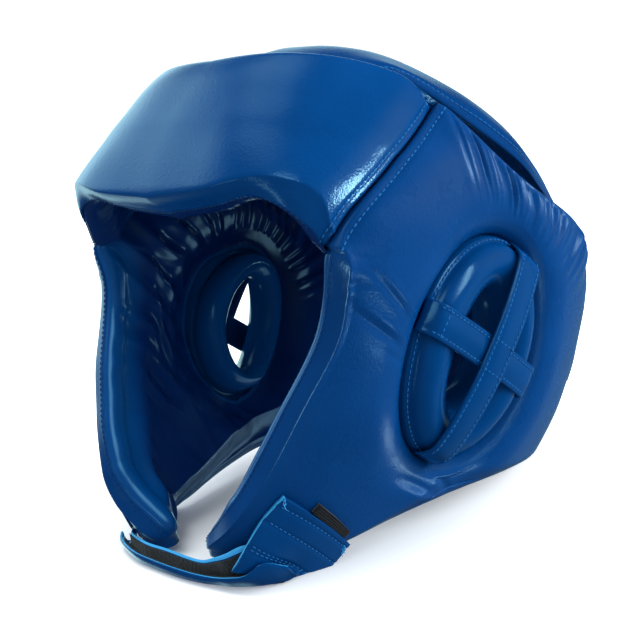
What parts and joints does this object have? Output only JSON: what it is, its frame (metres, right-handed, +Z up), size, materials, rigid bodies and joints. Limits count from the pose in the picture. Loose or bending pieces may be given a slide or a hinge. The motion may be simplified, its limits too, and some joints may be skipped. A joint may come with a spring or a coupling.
{
  "type": "head guard",
  "caption": "Open-face padded boxing head guard with thick brow, cheek and crown pads, strapped ear openings and a chin strap.",
  "frame": {"origin": "middle of the bounding box, on the surface that the guard rests on", "axes": "+X to the wearer's left, -Y out of the face opening, +Z up; the guard lies tipped back as it rests on its nape and chin strap"},
  "size_m": [0.2152, 0.2802, 0.2274],
  "materials": {
    "blue_leather": "glossy coated leather with a fine grain",
    "loop_tape": "black fuzzy loop tape",
    "hook_tape": "black ribbed hook tape"
  },
  "bodies": {
    "root": {"front_pad": "blue_leather", "left_side_pad": "blue_leather", "left_ear_pad": "blue_leather", "left_ear_strap_long": "blue_leather", "left_ear_strap_cross": "blue_leather", "right_side_pad": "blue_leather", "right_ear_pad": "blue_leather", "right_ear_strap_long": "blue_leather", "right_ear_strap_cross": "blue_leather", "crown_pad": "blue_leather", "crown_tail": "blue_leather", "rear_strap": "blue_leather", "chin_strap": "blue_leather", "chin_strap_tape": "loop_tape", "left_strap_patch": "blue_leather", "right_strap_patch": "blue_leather", "left_hook_tape": "hook_tape"}
  },
  "joints": []
}
